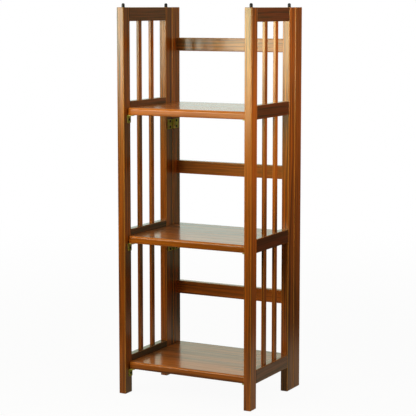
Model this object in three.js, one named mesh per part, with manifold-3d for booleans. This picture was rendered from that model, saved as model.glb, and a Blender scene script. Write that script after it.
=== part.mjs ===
// Folding bookstand rack: two slatted side frames hinged to a back frame, and three shelves that
// turn up on pins into the recess of the back frame. Millimetres, +Z up, front towards -Y,
// origin on the floor under the middle of the rack.
import * as THREE from "three";
import { mergeVertices } from "three/addons/utils/BufferGeometryUtils.js";
import Module from "manifold-3d";

const wasm = await Module();
wasm.setup();

// ---- Driving dimensions -----------------------------------------------------------------------

// Frames
const overallWidth = 368;
const rackHeight = 965;
const boardThickness = 19;
const frontPostDepth = 32;
const rearPostDepth = 35;
const sideFrameDepth = 246;
const frameGap = 0.5;
const stileDepth = 38.5;
const railHeight = 34;
const edgeRound = 2;
const endChamfer = 0.8;
const backRailThickness = 17.5;
const backRailRise = 168.5;

// Shelves
const levels = ["bottom", "middle", "top"];
const lowestUnderside = 61;
const shelfPitch = 320;
const shelfThickness = 18.5;
const shelfFrontSetback = 18;
const shelfRearInset = 1;
const shelfSideGap = 1.5;
const foldClearance = 0.4;
const noseRadius = 6;
const shelfEdgeRound = 2.5;

// Slats, two in each bay of a side frame
const slatThickness = 7;
const slatWidth = 15.5;
const slatSeat = 6;
const slatNames = ["front", "rear"];

// Joinery
const tenonThickness = 7;
const tenonHeight = 24;
const tenonLength = 8;
const fitGap = 0.3;
const glueLine = 0.1;

// Butt hinges between the side frames and the back frame, one under each shelf
const hingeHeight = 25.4;
const hingeDrop = 24.5;
const leafWidth = 29;
const leafThickness = 1.3;
const knuckleRadius = 3;
const hingePinRadius = 1.4;
const hingePinGap = 0.3;
const hingePinOverhang = 0.6;
const knuckleGap = 0.3;
const hingeScrewOffset = 16.5;
const hingeScrewSpacing = 15;

// Angle lugs on the front posts, which the shelves rest on
const lugWidth = 16;
const lugRearSetback = 0.8;
const lugDrop = 20;
const lugReach = 13;
const lugThickness = 1.6;
const lugBend = 2.4;
const lugScrewDrop = 11.5;

// Fasteners and pins
const screwHeadRadius = 3.2;
const screwHeadHeight = 1.5;
const screwRadius = 1.5;
const screwLength = 13;
const pivotPinRadius = 2.5;
const pivotPinInShelf = 14;
const pivotPinInStile = 10;
const stackPinRadius = 4;
const stackPinRise = 10;
const stackPinSeat = 16;
const stackSocketClearance = 0.7;
const stackSocketDepth = 12;

// ---- Derived places ---------------------------------------------------------------------------

const overallDepth = sideFrameDepth + frameGap + stileDepth;
const frontY = -overallDepth / 2;
const innerWidth = overallWidth - 2 * boardThickness;
const hingeLineY = frontY + sideFrameDepth + frameGap / 2;
const stileFrontY = frontY + sideFrameDepth + frameGap;
const foldRecess = shelfThickness + 2 * foldClearance;
const pivotY = stileFrontY + foldClearance + shelfThickness / 2;
const shelfWidth = innerWidth - 2 * shelfSideGap;
const shelfFrontY = frontY + shelfFrontSetback;
const shelfRearY = frontY + overallDepth - shelfRearInset;
const undersides = levels.map((level, index) => lowestUnderside + index * shelfPitch);
const rearPostFront = sideFrameDepth - rearPostDepth;
const sideRailLength = rearPostFront - frontPostDepth - 2 * glueLine;
const topRailZ = rackHeight - railHeight;
const stackPinYs = [frontPostDepth / 2, rearPostFront + rearPostDepth / 2];
const screwBoreRadius = screwRadius + fitGap;

// ---- Materials --------------------------------------------------------------------------------

const finish = (color, roughness, metalness) => () =>
  new THREE.MeshStandardMaterial({ color, roughness, metalness });
const wood = finish(0x8a4a22, 0.35, 0);
const shelfWood = finish(0xa8622e, 0.25, 0);
const zinc = finish(0xa8a060, 0.4, 0.9);
const steel = finish(0x8d8f92, 0.35, 0.9);
const blackPlastic = finish(0x161616, 0.4, 0);

// ---- Solid helpers ----------------------------------------------------------------------------

function toSolid(geometry) {
  const plain = geometry.clone();
  plain.deleteAttribute("normal");
  plain.deleteAttribute("uv");
  const merged = mergeVertices(plain);
  return new wasm.Manifold(new wasm.Mesh({
    numProp: 3,
    vertProperties: Float32Array.from(merged.attributes.position.array),
    triVerts: Uint32Array.from(merged.index.array),
  }));
}

function toGeometry(solid) {
  const mesh = solid.getMesh();
  const geometry = new THREE.BufferGeometry();
  geometry.setAttribute("position", new THREE.BufferAttribute(mesh.vertProperties, 3));
  geometry.setIndex(new THREE.BufferAttribute(mesh.triVerts, 1));
  geometry.computeVertexNormals();
  return geometry;
}

// A blank with other shapes joined to it, then cut by the cutters.
function shaped(blank, { joined = [], cutters = [] }) {
  const whole = joined.reduce((body, extra) => body.add(toSolid(extra)), toSolid(blank));
  return toGeometry(cutters.reduce((body, cutter) => body.subtract(toSolid(cutter)), whole));
}

function block([x, y, z], [sizeX, sizeY, sizeZ]) {
  return new THREE.BoxGeometry(sizeX, sizeY, sizeZ).translate(x, y, z);
}

// A round bar between two points.
function rod(radius, from, to, segments = 12) {
  const start = new THREE.Vector3(...from);
  const along = new THREE.Vector3(...to).sub(start);
  const bar = new THREE.CylinderGeometry(radius, radius, along.length(), segments);
  const turn = new THREE.Quaternion().setFromUnitVectors(
    new THREE.Vector3(0, 1, 0), along.clone().normalize());
  return bar.applyQuaternion(turn).translate(...start.addScaledVector(along, 0.5).toArray());
}

function roundedSection(width, depth, radius) {
  const x = width / 2 - radius;
  const y = depth / 2 - radius;
  const shape = new THREE.Shape();
  shape.absarc(x, y, radius, 0, Math.PI / 2);
  shape.absarc(-x, y, radius, Math.PI / 2, Math.PI);
  shape.absarc(-x, -y, radius, Math.PI, 1.5 * Math.PI);
  shape.absarc(x, -y, radius, 1.5 * Math.PI, 2 * Math.PI);
  return shape;
}

// A board with rounded long edges, centred on the origin; chamfer breaks its two ends.
function upright(sizeX, sizeY, length, chamfer = 0, radius = edgeRound) {
  const board = new THREE.ExtrudeGeometry(roundedSection(sizeX, sizeY, radius), {
    depth: length - 2 * chamfer,
    curveSegments: 1,
    bevelEnabled: chamfer > 0,
    bevelThickness: chamfer,
    bevelSize: chamfer,
    bevelOffset: -chamfer,
    bevelSegments: 1,
  });
  return board.translate(0, 0, chamfer - length / 2);
}

const alongY = (sizeX, sizeZ, length) => upright(sizeX, sizeZ, length).rotateX(-Math.PI / 2);
const alongX = (sizeY, sizeZ, length) => upright(sizeZ, sizeY, length).rotateY(Math.PI / 2);

function piece(name, geometry, material, [x, y, z] = [0, 0, 0]) {
  const mesh = new THREE.Mesh(geometry, material());
  mesh.name = name;
  mesh.position.set(x, y, z);
  return mesh;
}

// ---- Side frames ------------------------------------------------------------------------------

// Heights of every rail's lower edge and of every bay that the slats fill.
const shelfRails = levels.map((level, index) => ({ level, z: undersides[index] }));
const sideRails = [...shelfRails, { level: "crown", z: topRailZ }];
const bays = shelfRails.map(({ level, z }, index) => (
  { level, from: z + railHeight, to: sideRails[index + 1].z }));
const slatYs = slatNames.map((name, index) => frontPostDepth
  + (rearPostFront - frontPostDepth) * (index + 1) / (slatNames.length + 1));

// The mortise that a tenon enters; reach is signed and runs from the face into the wood.
function mortise([x, y, z], axis, reach) {
  const depth = Math.abs(reach) + fitGap;
  const size = [tenonThickness + 2 * fitGap, tenonThickness + 2 * fitGap, tenonHeight + 2 * fitGap];
  size[axis] = 2 * depth;
  return block([x, y, z], size);
}

function tenon([x, y, z], axis) {
  const size = [tenonThickness, tenonThickness, tenonHeight];
  size[axis] = 2 * tenonLength;
  return block([x, y, z], size);
}

const hingeScrewZs = undersides.flatMap((z) => [-0.5, 0.5].map(
  (half) => z - hingeDrop - hingeHeight / 2 + half * hingeScrewSpacing));
const lugScrewZs = undersides.map((z) => z - lugScrewDrop);
const lugCentreY = frontPostDepth - lugRearSetback - lugWidth / 2;
const postHingeScrewY = sideFrameDepth + frameGap / 2 - hingeScrewOffset;

// A pilot bore for a screw driven into the inner face of a board centred on x = 0.
function pilotBore(inward, y, z) {
  const face = inward * boardThickness / 2;
  return rod(screwBoreRadius, [face + inward, y, z], [face - inward * screwLength, y, z]);
}

function post(inward, depth, y, mortiseY, screwPlaces) {
  const pinSeat = rod(stackPinRadius + fitGap, [0, 0, rackHeight - stackPinSeat - fitGap],
    [0, 0, rackHeight + 1], 16);
  const socket = rod(stackPinRadius + stackSocketClearance, [0, 0, -1],
    [0, 0, stackSocketDepth], 16);
  const blank = upright(boardThickness, depth, rackHeight, endChamfer);
  return shaped(blank.translate(0, 0, rackHeight / 2), {
    cutters: [
      pinSeat,
      socket,
      ...sideRails.map(({ z }) => mortise([0, mortiseY - y, z + railHeight / 2], 1, tenonLength)),
      ...screwPlaces.map(([screwY, z]) => pilotBore(inward, screwY - y, z)),
    ],
  });
}

function sideRail(hasSlatsBelow, hasSlatsAbove) {
  const half = sideRailLength / 2;
  const middle = (frontPostDepth + rearPostFront) / 2;
  const seats = [];
  if (hasSlatsBelow) seats.push(-railHeight / 2);
  if (hasSlatsAbove) seats.push(railHeight / 2);
  return shaped(alongY(boardThickness, railHeight, sideRailLength), {
    joined: [tenon([0, -half, 0], 1), tenon([0, half, 0], 1)],
    cutters: seats.flatMap((z) => slatYs.map((y) => block([0, y - middle, z], [
      slatThickness + 2 * fitGap, slatWidth + 2 * fitGap, 2 * (slatSeat + fitGap)]))),
  });
}

function sideFrame(sideName, side) {
  const inward = -side;
  const group = new THREE.Group();
  group.position.set(side * (overallWidth - boardThickness) / 2, frontY, 0);
  const [frontY0, rearY0] = stackPinYs;
  group.add(
    piece(`${sideName}_front_post`,
      post(inward, frontPostDepth, frontY0, frontPostDepth,
        lugScrewZs.map((z) => [lugCentreY, z])),
      wood, [0, frontY0, 0]),
    piece(`${sideName}_rear_post`,
      post(inward, rearPostDepth, rearY0, rearPostFront,
        hingeScrewZs.map((z) => [postHingeScrewY, z])),
      wood, [0, rearY0, 0]),
  );
  sideRails.forEach(({ level, z }, index) => {
    group.add(piece(`${sideName}_${level}_rail`,
      sideRail(index > 0, index < sideRails.length - 1), wood,
      [0, (frontPostDepth + rearPostFront) / 2, z + railHeight / 2]));
  });
  bays.forEach(({ level, from, to }) => slatNames.forEach((name, index) => {
    group.add(piece(`${sideName}_${level}_${name}_slat`,
      upright(slatThickness, slatWidth, to - from + 2 * slatSeat, 0, 1),
      wood, [0, slatYs[index], (from + to) / 2]));
  }));
  return group;
}

// ---- Back frame -------------------------------------------------------------------------------

const backRailY = stileFrontY + foldRecess + backRailThickness / 2;
const backRailZs = undersides.map((z) => z + backRailRise);
const stileHingeScrewY = hingeLineY + hingeScrewOffset;

function stile(sideName, side) {
  const inward = -side;
  const y = stileFrontY + stileDepth / 2;
  const face = inward * boardThickness / 2;
  const blank = upright(boardThickness, stileDepth, rackHeight, endChamfer);
  const geometry = shaped(blank.translate(0, 0, rackHeight / 2), {
    cutters: [
      ...backRailZs.map((z) => mortise([face, backRailY - y, z], 0, tenonLength)),
      ...undersides.map((z) => rod(pivotPinRadius + fitGap,
        [face + inward, pivotY - y, z + shelfThickness / 2],
        [face - inward * (pivotPinInStile + fitGap), pivotY - y, z + shelfThickness / 2])),
      ...hingeScrewZs.map((z) => pilotBore(inward, stileHingeScrewY - y, z)),
    ],
  });
  return piece(`${sideName}_stile`, geometry, wood,
    [side * (overallWidth - boardThickness) / 2, y, 0]);
}

function backRail(level, z) {
  const length = innerWidth - 2 * glueLine;
  const geometry = shaped(alongX(backRailThickness, railHeight, length), {
    joined: [tenon([-length / 2, 0, 0], 0), tenon([length / 2, 0, 0], 0)],
  });
  return piece(`back_${level}_rail`, geometry, wood, [0, backRailY, z]);
}

function backFrame() {
  const group = new THREE.Group();
  group.add(stile("left", -1), stile("right", 1));
  levels.forEach((level, index) => group.add(backRail(level, backRailZs[index])));
  return group;
}

// ---- Shelves ----------------------------------------------------------------------------------

// Side view of a shelf about its pivot: x runs backwards and y upwards.
function shelfProfile() {
  const front = shelfFrontY - pivotY;
  const rear = shelfRearY - pivotY;
  const half = shelfThickness / 2;
  const small = shelfEdgeRound;
  const profile = new THREE.Shape();
  profile.absarc(front + small, -half + small, small, Math.PI, 1.5 * Math.PI);
  profile.absarc(rear - small, -half + small, small, 1.5 * Math.PI, 2 * Math.PI);
  profile.absarc(rear - small, half - small, small, 0, Math.PI / 2);
  profile.absarc(front + noseRadius, half - noseRadius, noseRadius, Math.PI / 2, Math.PI);
  return profile;
}

// A shelf hangs in a group whose origin is the middle of its pivot axis.
function shelf(level, underside) {
  const group = new THREE.Group();
  group.position.set(0, pivotY, underside + shelfThickness / 2);
  const profile = new THREE.ExtrudeGeometry(shelfProfile(), {
    depth: shelfWidth, curveSegments: 3, bevelEnabled: false });
  // The profile's plane turns so that its x runs along +Y and the board's length along X.
  const board = profile.translate(0, 0, -shelfWidth / 2)
    .rotateX(Math.PI / 2).rotateZ(Math.PI / 2);
  const edge = shelfWidth / 2;
  const bores = [-1, 1].map((side) => rod(pivotPinRadius + fitGap,
    [side * (edge + 1), 0, 0], [side * (edge - pivotPinInShelf - fitGap), 0, 0]));
  group.add(piece(`${level}_shelf`, shaped(board, { cutters: bores }), shelfWood));
  [["left", -1], ["right", 1]].forEach(([sideName, side]) => group.add(
    piece(`${sideName}_${level}_shelf_pivot_pin`, rod(pivotPinRadius,
      [side * (edge - pivotPinInShelf), 0, 0],
      [side * (innerWidth / 2 + pivotPinInStile), 0, 0]), steel)));
  return group;
}

// ---- Screws, hinges and lugs ------------------------------------------------------------------

// A screw with a domed head, driven along -x: the head's underside is at x = 0.
function screw([x, y, z]) {
  const domeSteps = 3;
  const tip = fitGap - screwLength;
  const profile = [
    new THREE.Vector2(0, tip),
    new THREE.Vector2(screwRadius, tip + screwRadius),
    new THREE.Vector2(screwRadius, 0),
    new THREE.Vector2(screwHeadRadius, 0),
  ];
  for (let step = 1; step < domeSteps; step += 1) {
    const angle = step / domeSteps * Math.PI / 2;
    profile.push(new THREE.Vector2(
      screwHeadRadius * Math.cos(angle), screwHeadHeight * Math.sin(angle)));
  }
  profile.push(new THREE.Vector2(0, screwHeadHeight));
  return new THREE.LatheGeometry(profile, 10).rotateZ(-Math.PI / 2).translate(x, y, z);
}

const knuckleX = glueLine + knuckleRadius;
const knuckleLength = hingeHeight / 3;
const barrelLength = knuckleLength - knuckleGap;
const leafFaceX = glueLine + leafThickness;

// A leaf with the two screws that hold it, in its own frame: x runs inwards from the wood, reach
// is the side of the pin that it lies on along y, and z runs up from the hinge's middle.
function leafPlate(reach, slots) {
  const plate = block([glueLine + leafThickness / 2, reach * leafWidth / 2, 0],
    [leafThickness, leafWidth, hingeHeight]);
  const clearance = knuckleRadius + hingePinGap;
  const reliefs = [-1, 0, 1].filter((slot) => !slots.includes(slot)).map((slot) => block(
    [glueLine, 0, slot * knuckleLength],
    [2 * knuckleX, 2 * clearance, knuckleLength + (slot === 0 ? knuckleGap : 2 * knuckleGap)]));
  const barrels = slots.map((slot) => rod(knuckleRadius,
    [knuckleX, 0, slot * knuckleLength - barrelLength / 2],
    [knuckleX, 0, slot * knuckleLength + barrelLength / 2]));
  const screws = [-0.5, 0.5].map((half) => screw(
    [leafFaceX, reach * hingeScrewOffset, half * hingeScrewSpacing]));
  return { trimmed: shaped(plate, { cutters: reliefs }), joined: [...barrels, ...screws] };
}

// The leaf on the post turns freely round the pin.
function postLeaf(reach) {
  const { trimmed, joined } = leafPlate(reach, [-1, 1]);
  const bore = rod(hingePinRadius + hingePinGap,
    [knuckleX, 0, -hingeHeight], [knuckleX, 0, hingeHeight], 10);
  return shaped(trimmed, { joined, cutters: [bore] });
}

// The leaf on the stile holds the pin fast in its knuckle.
function stileLeaf(reach) {
  const { trimmed, joined } = leafPlate(reach, [0]);
  const pinReach = hingeHeight / 2 + hingePinOverhang;
  const pin = rod(hingePinRadius, [knuckleX, 0, -pinReach], [knuckleX, 0, pinReach], 10);
  return shaped(trimmed, { joined: [...joined, pin] });
}

// Side view of a lug: x runs inwards from the post and y up from the shelf's underside.
function lugProfile() {
  const profile = new THREE.Shape();
  profile.moveTo(0, -lugDrop);
  profile.lineTo(lugThickness, -lugDrop);
  profile.absarc(lugBend, -lugBend, lugBend - lugThickness, Math.PI, Math.PI / 2, true);
  profile.lineTo(lugReach, -lugThickness);
  profile.lineTo(lugReach, 0);
  profile.absarc(lugBend, -lugBend, lugBend, Math.PI / 2, Math.PI);
  return profile;
}

// A lug with its screw, in its own frame: x inwards from the wood, z up from the shelf's underside.
function lug() {
  const bar = new THREE.ExtrudeGeometry(lugProfile(), {
    depth: lugWidth, curveSegments: 2, bevelEnabled: false });
  bar.rotateX(Math.PI / 2).translate(glueLine, lugWidth / 2, -fitGap);
  return shaped(bar, { joined: [screw([glueLine + lugThickness, 0, -lugScrewDrop])] });
}

// The metal on the inner faces of one side, in a frame where x runs inwards from the wood.
function sideHardware(sideName, side) {
  const group = new THREE.Group();
  group.position.set(side * innerWidth / 2, 0, 0);
  group.rotation.z = side > 0 ? Math.PI : 0;
  const back = -side;
  levels.forEach((level, index) => {
    const hingeZ = undersides[index] - hingeDrop - hingeHeight / 2;
    group.add(
      piece(`${sideName}_${level}_hinge_post_leaf`, postLeaf(-back), zinc,
        [0, back * hingeLineY, hingeZ]),
      piece(`${sideName}_${level}_hinge_stile_leaf`, stileLeaf(back), zinc,
        [0, back * hingeLineY, hingeZ]),
      piece(`${sideName}_${level}_shelf_lug`, lug(), zinc,
        [0, back * (frontY + lugCentreY), undersides[index]]),
    );
  });
  return group;
}

// ---- Stacking pins ----------------------------------------------------------------------------

// A pin with a rounded top, standing on z = 0 with its foot in the post.
function stackingPin() {
  const domeSteps = 3;
  const profile = [
    new THREE.Vector2(0, -stackPinSeat),
    new THREE.Vector2(stackPinRadius, -stackPinSeat),
  ];
  for (let step = 0; step < domeSteps; step += 1) {
    const angle = step / domeSteps * Math.PI / 2;
    profile.push(new THREE.Vector2(stackPinRadius * Math.cos(angle),
      stackPinRise - stackPinRadius + stackPinRadius * Math.sin(angle)));
  }
  profile.push(new THREE.Vector2(0, stackPinRise));
  return new THREE.LatheGeometry(profile, 12).rotateX(Math.PI / 2);
}

// ---- Assembly ---------------------------------------------------------------------------------

const rack = new THREE.Group();
rack.add(backFrame());
levels.forEach((level, index) => rack.add(shelf(level, undersides[index])));
[["left", -1], ["right", 1]].forEach(([sideName, side]) => {
  rack.add(sideFrame(sideName, side), sideHardware(sideName, side));
  ["front", "rear"].forEach((place, index) => rack.add(
    piece(`${sideName}_${place}_stacking_pin`, stackingPin(), blackPlastic,
      [side * (overallWidth - boardThickness) / 2, frontY + stackPinYs[index], rackHeight])));
});

export default rack;
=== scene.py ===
# A folding bookstand rack in stained and lacquered hardwood, with yellow zinc hinges and lugs.
# Metres, +Z up, front towards -Y; sizes that the frame doesn't give are named below in millimetres.
import math
import random

import bmesh
import bpy
from mathutils import Matrix, Vector


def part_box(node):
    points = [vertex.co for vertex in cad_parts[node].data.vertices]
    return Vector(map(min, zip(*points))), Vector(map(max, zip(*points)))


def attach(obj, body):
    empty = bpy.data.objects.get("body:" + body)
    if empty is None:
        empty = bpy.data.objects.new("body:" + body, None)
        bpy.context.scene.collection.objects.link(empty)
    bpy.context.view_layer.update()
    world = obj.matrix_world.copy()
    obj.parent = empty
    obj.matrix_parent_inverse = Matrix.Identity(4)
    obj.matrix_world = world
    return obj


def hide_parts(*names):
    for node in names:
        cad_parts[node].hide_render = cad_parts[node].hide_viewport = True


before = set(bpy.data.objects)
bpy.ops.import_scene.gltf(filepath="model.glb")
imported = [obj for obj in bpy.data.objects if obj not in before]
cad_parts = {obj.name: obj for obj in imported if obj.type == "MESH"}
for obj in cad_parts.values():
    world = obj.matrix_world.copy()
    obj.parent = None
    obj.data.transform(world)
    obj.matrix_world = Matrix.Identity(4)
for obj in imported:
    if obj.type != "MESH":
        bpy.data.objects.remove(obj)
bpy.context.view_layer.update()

MM = 0.001
SIDES = {"left": -1, "right": 1}
LEVELS = ("bottom", "middle", "top")
SIDE_RAILS = (*LEVELS, "crown")

# ---- Sizes in millimetres ---------------------------------------------------------------------

# Wood
EDGE_ROUND = 2.0
END_ROUND = 0.8
RAIL_END_ROUND = 0.3
SLAT_ROUND = 1.0
NOSE_RADIUS = 6.0
SHELF_EDGE_ROUND = 2.5
SHELF_END_ROUND = 0.5
SLAT_SINK = 1.5

# Bores
PEG_SEAT_RADIUS = 4.3
PEG_SEAT_DEPTH = 16.3
SOCKET_RADIUS = 4.7
SOCKET_DEPTH = 12.0
PIVOT_BORE_RADIUS = 2.8
PIVOT_BORE_DEPTH = 10.3

# Hinges
WALL_GAP = 0.1
LEAF_WIDTH = 29.0
LEAF_THICKNESS = 1.3
LEAF_CORNER = 1.6
HINGE_HEIGHT = 25.4
KNUCKLE_RADIUS = 3.0
KNUCKLE_GAP = 0.3
KNUCKLE_RIM = 0.35
HINGE_PIN_RADIUS = 1.4
HINGE_PIN_OVERHANG = 0.6
SCREW_REACH = 16.5
SCREW_SPREAD = 15.0
METAL_EDGE = 0.25

# Lugs
LUG_WIDTH = 16.0
LUG_DROP = 20.0
LUG_REACH = 13.0
LUG_THICKNESS = 1.6
LUG_BEND = 2.4
LUG_CORNER = 3.0
LUG_SCREW_DROP = 11.5
LUG_GAP = 0.3

# Screws and pins
HEAD_RADIUS = 3.2
HEAD_HEIGHT = 1.5
HEAD_DOME = 1.2
RECESS_LENGTH = 3.4
RECESS_WIDTH = 0.8
RECESS_DEPTH = 1.0
SHANK_RADIUS = 1.5
SHANK_LENGTH = 12.5
SHANK_TAPER = 0.35      # the tip's share of the shank's thickness
PIN_RIM = 0.5
PEG_DOME = 3.7

TOUCHING = 1e-6         # metres; points closer than this are the same
ALONG = 0.999           # the share of an edge's direction that makes it run along an axis
SMOOTH_ANGLE = 35       # degrees
BROKEN_ANGLE = 40       # degrees


# ---- Modelling helpers ------------------------------------------------------------------------

def deselect():
    bpy.ops.object.select_all(action="DESELECT")


def settle(name):
    """Names the primitive that was just added, and moves its place and size into its mesh."""
    part = bpy.context.object
    part.name = name
    bpy.ops.object.transform_apply(location=True, rotation=True, scale=True)
    return part


def add_block(name, low, high):
    deselect()
    bpy.ops.mesh.primitive_cube_add(size=1, location=(low + high) / 2, scale=high - low)
    return settle(name)


def add_rod(name, start, end, radius):
    deselect()
    along = end - start
    bpy.ops.mesh.primitive_cylinder_add(
        vertices=32, radius=radius, depth=along.length, location=(start + end) / 2,
        rotation=along.to_track_quat("Z", "Y").to_euler())
    return settle(name)


def make_active(part):
    deselect()
    part.select_set(True)
    bpy.context.view_layer.objects.active = part


def choose(part, kind, wanted):
    """Selects the faces or edges of the part in edit mode that are wanted."""
    bpy.ops.mesh.select_mode(type={"faces": "FACE", "edges": "EDGE"}[kind])
    bpy.ops.mesh.select_all(action="DESELECT")
    mesh = bmesh.from_edit_mesh(part.data)
    for item in getattr(mesh, kind):
        if wanted(item):
            item.select_set(True)
    mesh.select_flush_mode()
    bmesh.update_edit_mesh(part.data)


def round_edges(part, wanted, radius, segments):
    make_active(part)
    bpy.ops.object.mode_set(mode="EDIT")
    choose(part, "edges", wanted)
    bpy.ops.mesh.bevel(offset=radius, offset_type="OFFSET", segments=segments, profile=0.5,
                       affect="EDGES")
    bpy.ops.object.mode_set(mode="OBJECT")


def runs_along(axis):
    """A test for the edges that lie along an axis."""
    def test(edge):
        line = (edge.verts[1].co - edge.verts[0].co).normalized()
        return abs(line[axis]) > ALONG
    return test


def lies_at(axis, *places):
    """A test for the edges or faces whose points all have one of these places on an axis."""
    def test(item):
        return any(all(abs(v.co[axis] - place) < TOUCHING for v in item.verts)
                   for place in places)
    return test


def both(first, second):
    return lambda item: first(item) and second(item)


def cut_away(part, cutter):
    """Takes the cutter's shape out of the part and removes the cutter."""
    make_active(part)
    cut = part.modifiers.new("cut", "BOOLEAN")
    cut.operation = "DIFFERENCE"
    cut.solver = "EXACT"
    cut.object = cutter
    bpy.ops.object.modifier_apply(modifier=cut.name)
    bpy.data.objects.remove(cutter)


def bore(part, start, end, radius):
    cut_away(part, add_rod("cutter", start, end, radius))


def join(parts):
    make_active(parts[0])
    for part in parts[1:]:
        part.select_set(True)
    bpy.ops.object.join()
    return parts[0]


def break_edges(part):
    """Takes the sharpness off every edge of a metal part."""
    make_active(part)
    bevel = part.modifiers.new("broken edges", "BEVEL")
    bevel.width = METAL_EDGE * MM
    bevel.segments = 2
    bevel.limit_method = "ANGLE"
    bevel.angle_limit = math.radians(BROKEN_ANGLE)
    bpy.ops.object.modifier_apply(modifier=bevel.name)


def smooth(part):
    """Smooth rounds between faces that still shade flat, because the large faces set the
    normals."""
    make_active(part)
    bpy.ops.object.shade_smooth_by_angle(angle=math.radians(SMOOTH_ANGLE))
    weigh = part.modifiers.new("flat faces", "WEIGHTED_NORMAL")
    weigh.weight = 100
    weigh.keep_sharp = True
    bpy.ops.object.modifier_apply(modifier=weigh.name)


def placed_copy(master, name, place, turn=Matrix.Identity(4)):
    """A copy with its own mesh, turned and then moved to its place."""
    part = master.copy()
    part.data = master.data.copy()
    part.name = name
    part.data.transform(Matrix.Translation(place) @ turn)
    bpy.context.scene.collection.objects.link(part)
    return part


def finish_piece(part, material, slot, body, *nodes):
    part.data.materials.clear()
    part.data.materials.append(material)
    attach(part, body)
    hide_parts(*nodes)


# ---- Material helpers -------------------------------------------------------------------------

def linear(colour):
    """An sRGB hex colour as linear RGBA."""
    def channel(text):
        value = int(text, 16) / 255
        return value / 12.92 if value <= 0.04045 else ((value + 0.055) / 1.055) ** 2.4
    return (*(channel(colour[i:i + 2]) for i in (1, 3, 5)), 1.0)


def new_material(name):
    material = bpy.data.materials.new(name)
    material.use_nodes = True
    material.node_tree.nodes.clear()
    return material


def add_node(tree, kind, inputs=None, **settings):
    """Adds a node; an input takes a number, a colour or another node's output."""
    node = tree.nodes.new("ShaderNode" + kind)
    for name, value in settings.items():
        setattr(node, name, value)
    for key, value in (inputs or {}).items():
        if isinstance(value, bpy.types.NodeSocket):
            tree.links.new(value, node.inputs[key])
        else:
            node.inputs[key].default_value = value
    return node


def set_ramp(ramp, stops):
    """Gives a colour ramp its stops, each a place and a grey level or a hex colour."""
    points = ramp.color_ramp.elements
    while len(points) > len(stops):
        points.remove(points[-1])
    while len(points) < len(stops):
        points.new(1.0)
    for point, (place, level) in zip(points, stops):
        point.position = place
        point.color = linear(level) if isinstance(level, str) else (level, level, level, 1)


def across(axis, width, length):
    """A scale that gives a pattern its width across the grain and its length along it, in mm."""
    scale = [1 / (width * MM)] * 3
    scale[axis] = 1 / (length * MM)
    return scale


# ---- Lacquered hardwood -----------------------------------------------------------------------

# Plain-sawn hardwood, sanded, stained a warm reddish honey brown and sprayed with clear gloss
# lacquer. The stain shows the growth rings as soft darker bands that run along each board, with
# fine streaks of pores between them; the lacquer lies over it as a smooth hard layer that mirrors
# what is bright around it. The rounded edges are painted lighter: a painted highlight where they
# catch the light, and partly the stain worn thinner there.
RING_WIDTH = 6.5        # real rings are 2 to 4 mm; drawn wider so that they show
WIDE_RING = 14.0        # on a flat-sawn shelf the rings are cut at a slant and show wider
RING_TONES = ((0.0, 0.12), (0.5, 0.25), (0.86, 0.95), (1.0, 0.12))  # spring to autumn wood
RING_DEPTH = (0.25, 1.25)       # a good summer leaves a faint ring and a poor one a dark ring
FIBRE_WIDTH = 4.0       # pores are about 0.3 mm; drawn as coarse as they need to show
FIBRE_LENGTH = 160.0
FIBRE_SPREAD = (0.36, 0.64)
PATCH_WIDTH = 45.0      # slow changes of tone in one board
PATCH_LENGTH = 380.0
PATCH_SPREAD = (0.3, 0.7)
WANDER_WIDTH = 60.0     # how the rings wander on their way up the tree
WANDER_LENGTH = 420.0
WANDER = 2.5            # how far they wander, in ring widths
STAVE_WIDTH = 66.5      # the shelves are glued up from four staves
STAVE_SHIFT = (0.9, 0.05, 0.05)     # metres between the places of two staves in the log

# What each feature adds to the darkness, which runs from 0 to 1; the board tones carry painted
# shade and painted highlights besides the stain
GROUND = -0.33
BOARD_SHARE = 0.5
PATCH_SHARE = 0.2
STAVE_SHARE = 0.28

# The share of a surface's normal along its nearest axis, on a flat face and well round an arris
FLAT_FACE = 0.985
ROUND_ARRIS = 0.8
END_FACE = (0.8, 0.98)
END_SHADE = 0.6         # end grain drinks more stain
WOOD_ROUGHNESS = (0.28, 0.48)
PORE_RELIEF = 0.15      # mm
FILM_RELIEF = 0.14      # mm that the lacquer sinks over the dark rings
WOOD_TINT = "#ffe585"   # what the stained wood under the film gives back
LACQUER_IOR = 1.5


def split_staves(tree, place, log):
    """Gives each stave of a glued-up board its own place in the log and its own tone."""
    parts = add_node(tree, "SeparateXYZ", {0: place})
    count = add_node(tree, "Math", {0: parts.outputs["Y"], 1: 1 / (STAVE_WIDTH * MM)},
                     operation="MULTIPLY")
    stave = add_node(tree, "Math", {0: count.outputs[0]}, operation="FLOOR")
    draw = add_node(tree, "TexWhiteNoise", {"W": stave.outputs[0]}, noise_dimensions="1D")
    shift = add_node(tree, "VectorMath", {0: draw.outputs["Color"], 1: STAVE_SHIFT},
                     operation="MULTIPLY")
    moved = add_node(tree, "VectorMath", {0: log, 1: shift.outputs[0]}, operation="ADD")
    return moved.outputs[0], draw.outputs["Value"]


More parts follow.
